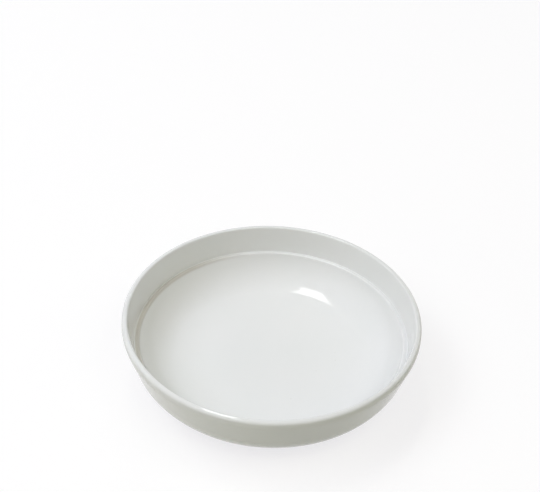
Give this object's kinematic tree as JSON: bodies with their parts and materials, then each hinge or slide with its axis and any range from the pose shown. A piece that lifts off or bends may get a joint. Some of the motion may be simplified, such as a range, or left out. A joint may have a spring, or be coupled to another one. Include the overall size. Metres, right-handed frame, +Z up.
{
  "type": "shallow bowl",
  "caption": "Round shallow porcelain bowl in glossy white glaze, with a rounded lip, an inner stacking ledge and a low foot ring.",
  "frame": {"origin": "centre of the foot ring on the surface that the bowl stands on", "axes": "+Z up along the bowl's axis of revolution; X and Y are alike"},
  "size_m": [0.2, 0.2, 0.0466],
  "materials": {
    "bare_porcelain": "matte, wiped clean of glaze",
    "white_glaze": "smooth high gloss"
  },
  "bodies": {
    "root": {"porcelain_body": "bare_porcelain", "glaze_coat": "white_glaze", "base_glaze": "white_glaze"}
  },
  "joints": []
}
